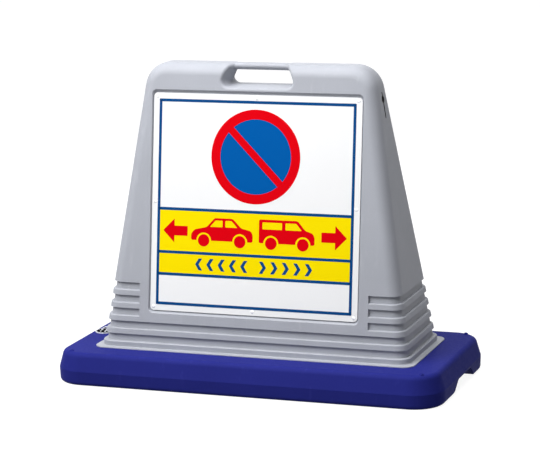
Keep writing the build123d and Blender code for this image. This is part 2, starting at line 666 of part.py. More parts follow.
def stud(spot):
    """The threaded stud moulded into a knob, as a plain rod of the thread's outer diameter."""
    low = knob_top() - STUD_IN_KNOB
    high = SPIGOT_FOOT + STUD_REACH
    return spot * Pos(0, 0, low) * bottom_cylinder(STUD_RADIUS, high - low)


def washer():
    """The washer between a knob's hub and the roof of its well."""
    return Pos(0, 0, knob_top()) * ring(WASHER_RADIUS, STUD_RADIUS + STUD_CLEARANCE, WASHER_THICKNESS)


def insert():
    """The grooved, threaded insert in the floor of the body."""
    sleeve = ring(INSERT_RADIUS, STUD_RADIUS + INSERT_BORE_GAP, INSERT_LENGTH)
    for share in (1 / 3, 2 / 3):
        groove = ring(INSERT_RADIUS + 1, INSERT_RADIUS - INSERT_GROOVE_DEPTH, INSERT_GROOVE_WIDTH)
        sleeve -= Pos(0, 0, share * INSERT_LENGTH - INSERT_GROOVE_WIDTH / 2) * groove
    return Pos(0, 0, SPIGOT_FOOT) * sleeve


def main():
    os.makedirs("parts", exist_ok=True)
    save(body_shell(), "body_shell")
    save(base_shell(), "base_shell")
    for side, face in zip(SIDES, ("front", "rear")):
        save(sign_panel(side), f"{face}_sign_panel")
        save(print_sheet(side), f"{face}_print_sheet")
        save(on_each(rivet_spots(side), rivet()), f"{face}_panel_rivets")
        save(on_each(rivet_spots(side), rivet_stem()), f"{face}_rivet_stems")
    save(on_each(knob_spots(), insert()), "body_inserts")
    save(on_each(knob_spots(), washer()), "hold_down_washers")
    for spot, end in zip(knob_spots(), ("left", "right")):
        save(knob(spot), f"{end}_hold_down_knob")
        save(stud(spot), f"{end}_hold_down_stud")
    save(filler_collar(), "filler_collar")
    save(filler_stopper(), "filler_stopper")
    save(stopper_seal(), "stopper_seal")
    save(pull_loop(), "pull_loop")


main()
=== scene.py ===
import json
import math

import bmesh
import bpy
from bpy.props import FloatProperty, FloatVectorProperty, IntProperty, PointerProperty
from mathutils import Matrix, Vector


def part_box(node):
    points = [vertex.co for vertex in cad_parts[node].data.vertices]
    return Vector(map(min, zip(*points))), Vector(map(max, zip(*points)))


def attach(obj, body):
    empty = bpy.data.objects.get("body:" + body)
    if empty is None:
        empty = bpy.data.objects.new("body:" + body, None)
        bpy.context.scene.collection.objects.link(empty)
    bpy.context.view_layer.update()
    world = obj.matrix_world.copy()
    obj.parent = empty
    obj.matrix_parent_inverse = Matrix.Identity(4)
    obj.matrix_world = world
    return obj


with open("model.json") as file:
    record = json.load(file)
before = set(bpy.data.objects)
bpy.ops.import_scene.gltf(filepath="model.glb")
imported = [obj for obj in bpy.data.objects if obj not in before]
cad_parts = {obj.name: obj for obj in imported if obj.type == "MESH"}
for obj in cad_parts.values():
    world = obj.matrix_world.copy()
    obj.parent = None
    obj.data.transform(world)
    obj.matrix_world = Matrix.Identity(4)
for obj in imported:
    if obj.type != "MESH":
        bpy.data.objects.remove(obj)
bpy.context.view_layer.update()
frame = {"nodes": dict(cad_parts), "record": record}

bl_info = {
    "name": "Parking sign stand",
    "version": (1, 0, 0),
    "blender": (4, 5, 0),
    "location": "View3D > Sidebar > Sign Stand",
    "description": "Finishes the stand in moulded plastic, prints its boards and sets up the studio",
    "category": "Object",
}

MM = 0.001
FACES = {"front": -1, "rear": 1}

# Finishes: sizes and depths are in metres, a shade multiplies a colour, a share is how much of a
# layer shows, and a sheen is how far the roughness goes down and up
CLOUD_SIZE = 0.09
CLOUD_SHADES = (0.965, 1.03)
FLECK_GRAINS = 1.7
FLECK_SHADE = 0.8
FLECK_SHARES = (0.0, 0.16)
STREAK_SIZE = 0.011
STREAK_STRETCH = (1.0, 1.0, 0.16)
STREAK_SHARES = (0.0, 0.22)
STREAK_RANGE = (0.60, 0.78)
RUB_SIZE = 0.018
RUB_SHARES = (0.05, 0.4)
EDGE_RANGE = (0.80, 0.995)
MOULDED_SHEEN_SIZE = 0.006
MOULDED_SHEEN = (0.05, 0.06)
MOULDED_GRAIN_DEPTH = 0.00010
MOULDED_GRAIN_STRENGTH = 0.22
TANK_GRAIN = 1.3
SATIN_CLOUD_SIZE = 0.007
SATIN_SHADES = (0.92, 1.06)
SATIN_SHEEN_SIZE = 0.002
SATIN_SHEEN = (0.05, 0.07)
SATIN_GRAIN = 0.0005
SATIN_GRAIN_DEPTH = 0.00004
SATIN_GRAIN_STRENGTH = 0.2
SCRATCH_SIZE = 0.0006
SCRATCH_SHADES = (0.82, 1.06)
SCRATCH_SHEEN = (0.08, 0.12)
SCRATCH_DEPTH = 0.00003
SCRATCH_STRENGTH = 0.25
PRINT_ROUGHNESS = 0.36
PRINT_SPECULAR = 0.03
MOTTLE_SIZE = 0.0016
MOTTLE_SHADES = (0.985, 1.01)
SHEET_CLOUD_SIZE = 0.12
SHEET_CLOUD_SHADE = 0.98
SHEET_CLOUD_SHARES = (0.0, 0.5)
PRINT_SHEEN_SIZE = 0.004
PRINT_SHEEN = (0.03, 0.04)
PEEL_SIZE = 0.003
PEEL_DEPTH = 0.00002
PEEL_STRENGTH = 0.06
WORN_GREY = (0.55, 0.56, 0.6)
WORN_BLUE = (0.05, 0.055, 0.32)
RIVET_ALUMINIUM = (0.76, 0.77, 0.79)
STEM_STEEL = (0.56, 0.56, 0.57)
INSERT_BRASS = (0.70, 0.52, 0.24)
ZINC_STEEL = (0.60, 0.61, 0.63)
SEAL_RUBBER = (0.02, 0.02, 0.02)

# Layers of ink, from the film up
GROUND, FIGURE, DETAIL, LAST = 1, 2, 3, 4

# Pictograms, in millimetres from the middle of their own drawing
CAR_BODY = [(-46, -12), (46, -12), (46, -1), (43, 4), (29, 7), (16, 20), (-11, 20), (-23, 7),
            (-41, 3), (-46, -3)]
CAR_WINDOWS = [[(-18, 7.5), (1, 7.5), (1, 16.8), (-9.5, 16.8)],
               [(5, 7.5), (23, 7.5), (14.2, 16.8), (5, 16.8)]]
CAR_WHEELS = (-27, 27)
CAR_PLACE = -62
VAN_BODY = [(-41, -12), (41, -12), (41, -1), (38, 4.5), (27, 8), (16, 21), (-41, 21)]
VAN_WINDOWS = [[(-2, 7.5), (22, 7.5), (13.8, 17.2), (-2, 17.2)],
               [(-36, 7.5), (-7, 7.5), (-7, 17.2), (-36, 17.2)]]
VAN_WHEELS = (-23, 24)
VAN_PLACE = 63
VEHICLES = [("car", CAR_BODY, CAR_WINDOWS, CAR_WHEELS, CAR_PLACE),
            ("van", VAN_BODY, VAN_WINDOWS, VAN_WHEELS, VAN_PLACE)]
VEHICLE_SCALE = 1.3
VEHICLE_ROUND = 2.4
WINDOW_ROUND = 1.2
WHEEL_DROP = 12
WHEEL_RADIUS = 8.6
ARCH_RADIUS = 11.0
ARROW = [(-24, 0), (-2, 22), (-2, 9), (24, 9), (24, -9), (-2, -9), (-2, -22)]
ARROW_PLACE = 153
ARROW_ROUND = 1.2
CHEVRON = [(-7, 0), (0, 11), (7, 11), (0, 0), (7, -11), (0, -11)]
CHEVRON_PLACE = 18
CHEVRON_STEP = 22
CHEVRON_ROUND = 0.6
FRAME_ROUND = 1.6
CORNER_SEGMENTS = 4
ROUNDEL_SEGMENTS = 128
SLASH_ANGLE = -45

# Studio: places are in metres, angles in degrees, and a softbox has a place and a target
FLOOR_DROP = 0.0003
FLOOR_UNSEEN = (0.22, 0.22, 0.23)
FLOOR_SEEN = (0.85, 0.85, 0.86)
FLOOR_GLOW_SHARE = 0.72
SUN_PLACE = Vector((-0.9, -0.9, 3.0))
SUN_SPREAD = 70
SOFTBOX_SIZE = (1.6, 1.2)
FRONT_SOFTBOX = Vector((-1.0, -1.25, 1.75)), Vector((0, 0, 0.35))
HEAD_SOFTBOX = Vector((0.15, -0.45, 1.65)), Vector((0, 0, 0.3))
BACK_SOFTBOX = Vector((-0.5, 2.3, 0.9)), Vector((0, 0, 0.3))
CAMERA_PLACE = (1.41633, -3.84775, 1.10560)
CAMERA_YAW, CAMERA_PITCH, CAMERA_ROLL = 20.1336, 11.3584, -1.4236
SENSOR_WIDTH = 36.0


def colour(name, description, value):
    return FloatVectorProperty(name=name, description=description, subtype="COLOR", size=3,
                               min=0.0, max=1.0, default=value)


def length(name, description, millimetres):
    return FloatProperty(name=name, description=description, unit="LENGTH",
                         default=millimetres * MM)


def power(name, description, watts):
    return FloatProperty(name=name, description=description, unit="POWER", min=0.0, default=watts)


def strength(name, description, value):
    return FloatProperty(name=name, description=description, min=0.0, default=value)


class StandPlastics(bpy.types.PropertyGroup):
    """Colours and grain of the mouldings and fittings"""
    body_grey: colour("Body grey", "Colour of the moulded body", (0.40, 0.415, 0.46))
    tank_blue: colour("Tank blue", "Colour of the moulded base tank", (0.020, 0.0245, 0.203))
    pale_fitting: colour("Pale fitting", "Colour of the filler's collar and pull loop",
                         (0.72, 0.74, 0.79))
    # Black fitting also colours the painted shade in the filler collar's bore
    black_fitting: colour("Black fitting", "Colour of the stopper and the knobs",
                          (0.012, 0.012, 0.015))
    grain: length("Grain", "Size of the moulded grain", 1.1)
    edge_radius: length("Edge wear", "How far the wear reaches in from an edge", 1.6)
    # Painted shade: the colour inside the keyholes and slots, the slot sizes it fills, and how far
    # past an edge it reaches
    keyhole_shade: colour("Keyhole dark", "Colour inside the keyholes", (0.004, 0.004, 0.005))
    slot_width: length("Slot width", "Width of a keyhole's slot", 3.8)
    slot_above: length("Slot above", "How far a slot reaches above its hole's centre", 12.6)
    slot_below: length("Slot below", "How far a slot reaches below its hole's centre", 34.0)
    hole_rim: length("Hole rim", "How far the dark of a slot or bore reaches past its edge", 0.6)
    # A painted shade ring round each round keyhole, which widens its dark spot
    hole_shade_ring: length("Hole wear", "Width of the dark ring that a chain rubs round a keyhole", 1.8)


class BoardPrint(bpy.types.PropertyGroup):
    """Sizes and inks of the printed boards, measured from a board's middle"""
    ink_depth: length("Ink depth", "Thickness of one layer of ink", 0.06)
    frame_reach: length("Frame reach", "From the middle to the frame's centre line", 186.5)
    line_width: length("Line width", "Width of the frame and the rules", 5.4)
    roundel_rise: length("Roundel rise", "Height of the roundel's centre", 88.0)
    roundel_radius: length("Roundel radius", "Outer radius of the red ring", 85.5)
    ring_width: length("Ring width", "Width of the red ring", 17.5)
    slash_width: length("Slash width", "Width of the red slash", 13.5)
    upper_rule: length("Upper rule", "Height of the rule over the broad band", -12.0)
    middle_rule: length("Middle rule", "Height of the rule between the bands", -91.4)
    lower_rule: length("Lower rule", "Height of the rule under the narrow band", -132.0)
    chevrons: IntProperty(name="Chevrons", description="Chevrons on each side of the narrow band",
                          default=5, min=1)
    sign_red: colour("Sign red", "Ink of the ring, the slash and the pictograms",
                     (0.72, 0.0008, 0.006))
    roundel_blue: colour("Roundel blue", "Ink of the roundel's disc", (0.0006, 0.098, 0.375))
    rule_blue: colour("Rule blue", "Ink of the frame, the rules and the chevrons",
                      (0.005, 0.064, 0.225))
    band_yellow: colour("Band yellow", "Ink of the bands", (0.97, 0.76, 0.0008))
    film_white: colour("Film white", "Colour of the unprinted film", (0.91, 0.915, 0.922))


class Studio(bpy.types.PropertyGroup):
    """Lights, floor and camera"""
    top_light: strength("Top light", "Strength of the overhead light", 1.2)
    key_light: power("Key light", "Power of the softbox in front", 35.0)
    head_light: power("Head light", "Power of the softbox above", 16.0)
    back_light: power("Back light", "Power of the softbox behind", 14.0)
    surround: strength("Surround", "Strength of the light from all round", 0.11)
    floor_glow: strength("Floor glow", "Strength of the white that the floor shows", 1.27)
    focal_length: FloatProperty(name="Focal length", description="Focal length on a 36 mm sensor",
                                default=151.698, min=1.0, unit="CAMERA")
    floor_reach: FloatProperty(name="Floor reach", description="Half the floor's size",
                               default=30.0, unit="LENGTH")


def node(tree, kind, **values):
    made = tree.nodes.new(kind)
    for key, value in values.items():
        made.inputs[key.replace("_", " ")].default_value = value
    return made


def link(tree, source, target):
    tree.links.new(source, target)


def feed(tree, value, socket):
    """Put a number on a socket, or link another node's output to it."""
    if isinstance(value, bpy.types.NodeSocket):
        link(tree, value, socket)
    else:
        socket.default_value = value


def noise(tree, size, detail=3.0, stretch=(1.0, 1.0, 1.0)):
    """Noise on Object coordinates whose features are about this size."""
    place = node(tree, "ShaderNodeTexCoord")
    mapping = node(tree, "ShaderNodeMapping", Scale=stretch)
    texture = node(tree, "ShaderNodeTexNoise", Scale=1.0 / size, Detail=detail, Roughness=0.55)
    link(tree, place.outputs["Object"], mapping.inputs["Vector"])
    link(tree, mapping.outputs["Vector"], texture.inputs["Vector"])
    return texture.outputs[0]


def spread(tree, value, low, high, start=0.3, end=0.7):
    """A value that goes from low to high while the given one goes from start to end."""
    ranged = node(tree, "ShaderNodeMapRange", From_Min=start, From_Max=end, To_Min=low, To_Max=high)
    link(tree, value, ranged.inputs["Value"])
    return ranged.outputs["Result"]


def mixed(tree, factor, first, second):
    """A colour between two, each a colour value or another node's output."""
    mix = tree.nodes.new("ShaderNodeMix")
    mix.data_type = "RGBA"
    link(tree, factor, mix.inputs[0])
    for socket, value in ((mix.inputs[6], first), (mix.inputs[7], second)):
        feed(tree, value if isinstance(value, bpy.types.NodeSocket) else (*value, 1.0), socket)
    return mix.outputs[2]


def sums(tree, operation, *values):
    """A Math node's output; each value is a number or another node's output."""
    made = tree.nodes.new("ShaderNodeMath")
    made.operation = operation
    for socket, value in zip(made.inputs, values):
        feed(tree, value, socket)
    return made.outputs[0]


def away(tree, first, second):
    """Distance from an axis, from the two coordinates across it."""
    squares = [sums(tree, "MULTIPLY", value, value) for value in (first, second)]
    return sums(tree, "SQRT", sums(tree, "ADD", *squares))


def local_axes(tree, vector, location, rotation=(0, 0, 0)):
    """Coordinates along the axes of a place on the stand."""
    local = node(tree, "ShaderNodeMapping", Location=location, Rotation=rotation)
    local.vector_type = "TEXTURE"
    split = node(tree, "ShaderNodeSeparateXYZ")
    link(tree, vector, local.inputs["Vector"])
    link(tree, local.outputs["Vector"], split.inputs["Vector"])
    return split.outputs


def shade(value, amount):
    return tuple(min(1.0, part * amount) for part in value)


def two_tone(tree, texture, base, shades):
    """A colour that wanders between two shades of the base."""
    dark, light = shades
    return mixed(tree, spread(tree, texture, 0.0, 1.0), shade(base, dark), shade(base, light))


def vary_roughness(tree, shader, texture, roughness, sheen):
    less, more = sheen
    ranged = spread(tree, texture, roughness - less, roughness + more)
    link(tree, ranged, shader.inputs["Roughness"])


def edge_mask(tree, radius):
    """One along convex and concave edges, nothing on open faces."""
    bevel = tree.nodes.new("ShaderNodeBevel")
    bevel.samples = 4
    bevel.inputs["Radius"].default_value = radius
    geometry = tree.nodes.new("ShaderNodeNewGeometry")
    facing = tree.nodes.new("ShaderNodeVectorMath")
    facing.operation = "DOT_PRODUCT"
    link(tree, bevel.outputs["Normal"], facing.inputs[0])
    link(tree, geometry.outputs["Normal"], facing.inputs[1])
    return spread(tree, facing.outputs["Value"], 1.0, 0.0, *EDGE_RANGE)


def bump(tree, shader, height, depth, amount):
    made = node(tree, "ShaderNodeBump", Strength=amount, Distance=depth)
    link(tree, height, made.inputs["Height"])
    link(tree, made.outputs["Normal"], shader.inputs["Normal"])


def new_finish(name, roughness, metallic=0.0, specular=0.5):
    material = bpy.data.materials.new(name)
    material.use_nodes = True
    shader = material.node_tree.nodes["Principled BSDF"]
    shader.inputs["Roughness"].default_value = roughness
    shader.inputs["Metallic"].default_value = metallic
    shader.inputs["Specular IOR Level"].default_value = specular
    return material, material.node_tree, shader


def moulding(name, base, roughness, specular, grain, edge_radius, worn):
    """Moulded polyethylene: clouded colour, pebbled grain, light rubbing on the edges."""
    material, tree, shader = new_finish(name, roughness, specular=specular)
    cloud = two_tone(tree, noise(tree, CLOUD_SIZE, 2.0), base, CLOUD_SHADES)
    flecks = spread(tree, noise(tree, grain * FLECK_GRAINS, 2.0), *FLECK_SHARES)
    flecked = mixed(tree, flecks, cloud, shade(base, FLECK_SHADE))
    streak = noise(tree, STREAK_SIZE, 4.0, STREAK_STRETCH)
    streaked = mixed(tree, spread(tree, streak, *STREAK_SHARES, *STREAK_RANGE), flecked, worn)
    spots = spread(tree, noise(tree, RUB_SIZE), *RUB_SHARES)
    rub = sums(tree, "MULTIPLY", edge_mask(tree, edge_radius), spots)
    link(tree, mixed(tree, rub, streaked, worn), shader.inputs["Base Color"])
    vary_roughness(tree, shader, noise(tree, MOULDED_SHEEN_SIZE), roughness, MOULDED_SHEEN)
    bump(tree, shader, noise(tree, grain), MOULDED_GRAIN_DEPTH, MOULDED_GRAIN_STRENGTH)
    return material


def keyhole_shade_mask(tree, look):
    """Painted shade: one in the keyholes of both ends and round their holes, nothing on the rest of
    the body.
    """
    mounts = frame["record"]["mounts"]
    mount = next(m for m in mounts if m["name"] == "right_chain_keyhole")
    radius = mount["dims"]["r_mm"] * MM
    place = node(tree, "ShaderNodeTexCoord")
    folded = tree.nodes.new("ShaderNodeVectorMath")
    folded.operation = "ABSOLUTE"
    link(tree, place.outputs["Object"], folded.inputs[0])
    lean = (0, -math.asin(mount["axis"][2]), 0)
    axes = local_axes(tree, folded.outputs["Vector"], mount["pos_m"], lean)
    across, up = axes["Y"], axes["Z"]
    hole = sums(tree, "LESS_THAN", away(tree, across, up), radius + look.hole_shade_ring)
    middle = (look.slot_above - look.slot_below) / 2
    reach = (look.slot_above + look.slot_below) / 2
    in_length = sums(tree, "COMPARE", up, middle, reach + look.hole_rim)
    in_width = sums(tree, "COMPARE", across, 0.0, look.slot_width / 2 + look.hole_rim)
    return sums(tree, "MAXIMUM", hole, sums(tree, "MULTIPLY", in_length, in_width))


def bore_shade_mask(tree, name, rim):
    """Painted shade: one on the bore of an upright ring, nothing on its outside."""
    low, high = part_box(name)
    middle = (low + high) / 2
    vertices = frame["nodes"][name].data.vertices
    bore = min((vertex.co - middle).xy.length for vertex in vertices)
    place = node(tree, "ShaderNodeTexCoord")
    axes = local_axes(tree, place.outputs["Object"], middle)
    return sums(tree, "LESS_THAN", away(tree, axes["X"], axes["Y"]), bore + rim)


def darken(material, mask, dark):
    """Lay a dark colour over a finish where the mask is one: painted shade in a hole or bore."""
    tree = material.node_tree
    socket = tree.nodes["Principled BSDF"].inputs["Base Color"]
    link(tree, mixed(tree, mask, socket.links[0].from_socket, dark), socket)


def smooth_plastic(name, base, roughness, specular=0.5):
    """Injection-moulded plastic with a fine satin grain."""
    material, tree, shader = new_finish(name, roughness, specular=specular)
    cloud = two_tone(tree, noise(tree, SATIN_CLOUD_SIZE), base, SATIN_SHADES)
    link(tree, cloud, shader.inputs["Base Color"])
    vary_roughness(tree, shader, noise(tree, SATIN_SHEEN_SIZE, 2.0), roughness, SATIN_SHEEN)
    bump(tree, shader, noise(tree, SATIN_GRAIN, 2.0), SATIN_GRAIN_DEPTH, SATIN_GRAIN_STRENGTH)
    return material


def bare_metal(name, base, roughness, drawn=(1, 1, 1)):
    """Bare or plated metal with drawn scratches; drawn stretches them along an axis."""
    material, tree, shader = new_finish(name, roughness, metallic=1.0)
    line = noise(tree, SCRATCH_SIZE, 4.0, drawn)
    link(tree, two_tone(tree, line, base, SCRATCH_SHADES), shader.inputs["Base Color"])
    vary_roughness(tree, shader, line, roughness, SCRATCH_SHEEN)
    bump(tree, shader, line, SCRATCH_DEPTH, SCRATCH_STRENGTH)
    return material


def printed(name, base):
    """Ink or film on a board: flat colour with the faint mottle and peel of print."""
    material, tree, shader = new_finish(name, PRINT_ROUGHNESS, specular=PRINT_SPECULAR)
    mottle = two_tone(tree, noise(tree, MOTTLE_SIZE, 2.0), base, MOTTLE_SHADES)
    cloud = spread(tree, noise(tree, SHEET_CLOUD_SIZE, 2.0), *SHEET_CLOUD_SHARES)
    sheet = mixed(tree, cloud, mottle, shade(base, SHEET_CLOUD_SHADE))
    link(tree, sheet, shader.inputs["Base Color"])
    vary_roughness(tree, shader, noise(tree, PRINT_SHEEN_SIZE, 2.0), PRINT_ROUGHNESS, PRINT_SHEEN)
    bump(tree, shader, noise(tree, PEEL_SIZE, 2.0), PEEL_DEPTH, PEEL_STRENGTH)
    return material


def dress(material, *names):
    for name in names:
        mesh = frame["nodes"][name].data
        mesh.materials.clear()
        mesh.materials.append(material)


def ink_material(name, base):
    return bpy.data.materials.get(name) or printed(name, base)


def board_place(face):
    """From a board's flat plan (right, up the slope, out) to its printed surface on the stand."""
    side = FACES[face]
    sheet = frame["nodes"][f"{face}_print_sheet"].data
    outward = [polygon for polygon in sheet.polygons if polygon.normal.y * side > 0.5]
    out = max(outward, key=lambda polygon: polygon.area).normal.normalized()
    right = Vector((-side, 0.0, 0.0))
    up = out.cross(right)
    reach = max(vertex.co.dot(out) for vertex in sheet.vertices)
    low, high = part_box(f"{face}_print_sheet")
    middle = (low + high) / 2
    origin = middle + out * (reach - middle.dot(out))
    turn = Matrix((right, up, out)).transposed().to_4x4()
    return Matrix.Translation(origin) @ turn


def thicken(mesh, depth):
    """Raise the flat faces of a plan into closed plates of this depth."""
    raised = bmesh.ops.extrude_face_region(mesh, geom=mesh.faces[:], use_keep_orig=True)["geom"]
    lifted = [item for item in raised if isinstance(item, bmesh.types.BMVert)]
    bmesh.ops.translate(mesh, verts=lifted, vec=(0, 0, depth))
    bmesh.ops.recalc_face_normals(mesh, faces=mesh.faces)


def outline(mesh, points, rounding=0.0, scale=1.0, at=(0.0, 0.0), flip=1):
    """A flat face from its corner points in millimetres, with rounded corners."""
    corners = []
    for x, y in points:
        spot = ((flip * x * scale + at[0]) * MM, (y * scale + at[1]) * MM, 0)
        corners.append(mesh.verts.new(spot))
    mesh.faces.new(corners)
    if rounding:
        bmesh.ops.bevel(mesh, geom=corners, offset=rounding * scale * MM, offset_type="OFFSET",
                        segments=CORNER_SEGMENTS, profile=0.5, affect="VERTICES", material=-1)


def disc(mesh, radius, at=(0.0, 0.0), segments=48):
    """A flat round face in millimetres."""
    place = Matrix.Translation((at[0] * MM, at[1] * MM, 0))
    bmesh.ops.create_circle(mesh, cap_ends=True, radius=radius * MM, segments=segments,
                            matrix=place)


def keep_border(mesh, width):
    """Leave only the border of a flat face, this wide in millimetres."""
    inner = mesh.faces[:]
    bmesh.ops.inset_region(mesh, faces=inner, thickness=width * MM, use_boundary=True,
                           use_even_offset=True)
    bmesh.ops.delete(mesh, geom=inner, context="FACES")


def rectangle(width, height):
    x, y = width / 2, height / 2
    return [(-x, -y), (x, -y), (x, y), (-x, y)]


def ink_piece(face, name, mesh, layer, material):
    """Lay a flat plan on a board as ink that ends at the top of a layer."""
    depth = bpy.context.scene.board_print.ink_depth
    thicken(mesh, depth * (layer + 0.5))
    bmesh.ops.translate(mesh, verts=mesh.verts, vec=(0, 0, -depth / 2))
    bmesh.ops.transform(mesh, matrix=board_place(face), verts=mesh.verts)
    bmesh.ops.recalc_face_normals(mesh, faces=mesh.faces)
    data = bpy.data.meshes.new(f"{face}_{name}")
    mesh.to_mesh(data)
    mesh.free()
    data.materials.append(material)
    piece = bpy.data.objects.new(f"{face}_{name}", data)
    bpy.context.scene.collection.objects.link(piece)
    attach(piece, "sign_body")


class STAND_OT_body(bpy.types.Operator):
    """Give the wedge body its moulded grey plastic, with painted shade in its keyholes"""
    bl_idname = "sign_stand.body"
    bl_label = "Body plastic"

    def execute(self, context):
        look = context.scene.stand_plastics
        grey = moulding("body_grey", look.body_grey, roughness=0.5, specular=0.3, grain=look.grain,
                        edge_radius=look.edge_radius, worn=WORN_GREY)
        # Paint shade into the keyholes, their slots and a ring round each round hole
        darken(grey, keyhole_shade_mask(grey.node_tree, look), look.keyhole_shade)
        dress(grey, "body_shell")
        return {"FINISHED"}


class STAND_OT_tank(bpy.types.Operator):
    """Give the base tank its moulded blue plastic"""
    bl_idname = "sign_stand.tank"
    bl_label = "Tank plastic"

    def execute(self, context):
        look = context.scene.stand_plastics
        blue = moulding("tank_blue", look.tank_blue, roughness=0.54, specular=0.02,
                        grain=look.grain * TANK_GRAIN, edge_radius=look.edge_radius, worn=WORN_BLUE)
        dress(blue, "base_shell")
        return {"FINISHED"}


class STAND_OT_boards(bpy.types.Operator):
    """Finish the boards and the white film on them"""
    bl_idname = "sign_stand.boards"
    bl_label = "Boards and film"

    def execute(self, context):
        white = context.scene.board_print.film_white
        board = smooth_plastic("board_white", white, roughness=0.4)
        dress(board, "front_sign_panel", "rear_sign_panel")
        dress(printed("film_white", white), "front_print_sheet", "rear_print_sheet")
        return {"FINISHED"}


class STAND_OT_fasteners(bpy.types.Operator):
    """Finish the rivets, studs, washers, inserts and knobs"""
    bl_idname = "sign_stand.fasteners"
    bl_label = "Fasteners and knobs"

    def execute(self, context):
        look = context.scene.stand_plastics
        rivet = bare_metal("rivet_aluminium", RIVET_ALUMINIUM, roughness=0.52)
        dress(rivet, "front_panel_rivets", "rear_panel_rivets")
        stem = bare_metal("stem_steel", STEM_STEEL, roughness=0.55)
        dress(stem, "front_rivet_stems", "rear_rivet_stems")
        brass = bare_metal("insert_brass", INSERT_BRASS, roughness=0.34, drawn=(1, 1, 6))
        dress(brass, "body_inserts")
        zinc = bare_metal("zinc_steel", ZINC_STEEL, roughness=0.33, drawn=(1, 1, 5))
        dress(zinc, "hold_down_washers", "left_hold_down_stud", "right_hold_down_stud")
        black = smooth_plastic("knob_black", look.black_fitting, roughness=0.45)
        dress(black, "left_hold_down_knob", "right_hold_down_knob")
        return {"FINISHED"}


class STAND_OT_filler(bpy.types.Operator):
    """Finish the filler's collar, stopper, seal and pull loop, with painted shade in the collar's
    bore
    """
    bl_idname = "sign_stand.filler"
    bl_label = "Filler fittings"

    def execute(self, context):
        look = context.scene.stand_plastics
        dress(smooth_plastic("fitting_pale", look.pale_fitting, roughness=0.42), "pull_loop")
        collar = smooth_plastic("collar_pale", look.pale_fitting, roughness=0.42)
        # Paint shade on the collar's bore in the stopper's black
        bore = bore_shade_mask(collar.node_tree, "filler_collar", look.hole_rim)
        darken(collar, bore, look.black_fitting)
        dress(collar, "filler_collar")
        black = smooth_plastic("stopper_black", look.black_fitting, roughness=0.6, specular=0.06)
        dress(black, "filler_stopper")
        rubber = smooth_plastic("seal_rubber", SEAL_RUBBER, roughness=0.7, specular=0.3)
        dress(rubber, "stopper_seal")
        return {"FINISHED"}


class STAND_OT_frame_print(bpy.types.Operator):
    """Print the blue frame, the rules and the yellow bands on both boards"""
    bl_idname = "sign_stand.frame_print"
    bl_label = "Frame and bands"

    def execute(self, context):
        look = context.scene.board_print
        blue = ink_material("ink_rule_blue", look.rule_blue)
        yellow = ink_material("ink_yellow", look.band_yellow)
        reach, line = look.frame_reach / MM, look.line_width / MM
        rules = [rule / MM for rule in (look.upper_rule, look.middle_rule, look.lower_rule)]
        bands = [("broad_band", rules[0], rules[1]), ("narrow_band", rules[1], rules[2])]
        for face in FACES:
            mesh = bmesh.new()
            outline(mesh, rectangle(2 * reach + line, 2 * reach + line), rounding=FRAME_ROUND)
            keep_border(mesh, line)
            ink_piece(face, "print_frame", mesh, FIGURE, blue)
            mesh = bmesh.new()
            for rule in rules:
                outline(mesh, rectangle(2 * reach, line), at=(0, rule))
            ink_piece(face, "print_rules", mesh, FIGURE, blue)
            for name, top, foot in bands:
                mesh = bmesh.new()
                outline(mesh, rectangle(2 * reach, top - foot), at=(0, (top + foot) / 2))
                ink_piece(face, name, mesh, GROUND, yellow)
        return {"FINISHED"}


class STAND_OT_roundel(bpy.types.Operator):
    """Print the common no-parking roundel on both boards"""
    bl_idname = "sign_stand.roundel"
    bl_label = "Roundel"

    def execute(self, context):
        look = context.scene.board_print
        red = ink_material("ink_red", look.sign_red)
        blue = ink_material("ink_roundel_blue", look.roundel_blue)
        rise, radius, ring, slash = (
            value / MM
            for value in (look.roundel_rise, look.roundel_radius, look.ring_width, look.slash_width))
        turn = Matrix.Rotation(math.radians(SLASH_ANGLE), 3, "Z")
        for face in FACES:
            mesh = bmesh.new()
            disc(mesh, radius - ring / 2, (0, rise), ROUNDEL_SEGMENTS)
            ink_piece(face, "roundel_disc", mesh, GROUND, blue)
            mesh = bmesh.new()
            disc(mesh, radius, (0, rise), ROUNDEL_SEGMENTS)
            keep_border(mesh, ring)
            ink_piece(face, "roundel_ring", mesh, DETAIL, red)
            mesh = bmesh.new()
            outline(mesh, rectangle(2 * radius - ring, slash))
            bmesh.ops.rotate(mesh, verts=mesh.verts, cent=(0, 0, 0), matrix=turn)
            bmesh.ops.translate(mesh, verts=mesh.verts, vec=(0, rise * MM, 0))
            ink_piece(face, "roundel_slash", mesh, FIGURE, red)
        return {"FINISHED"}


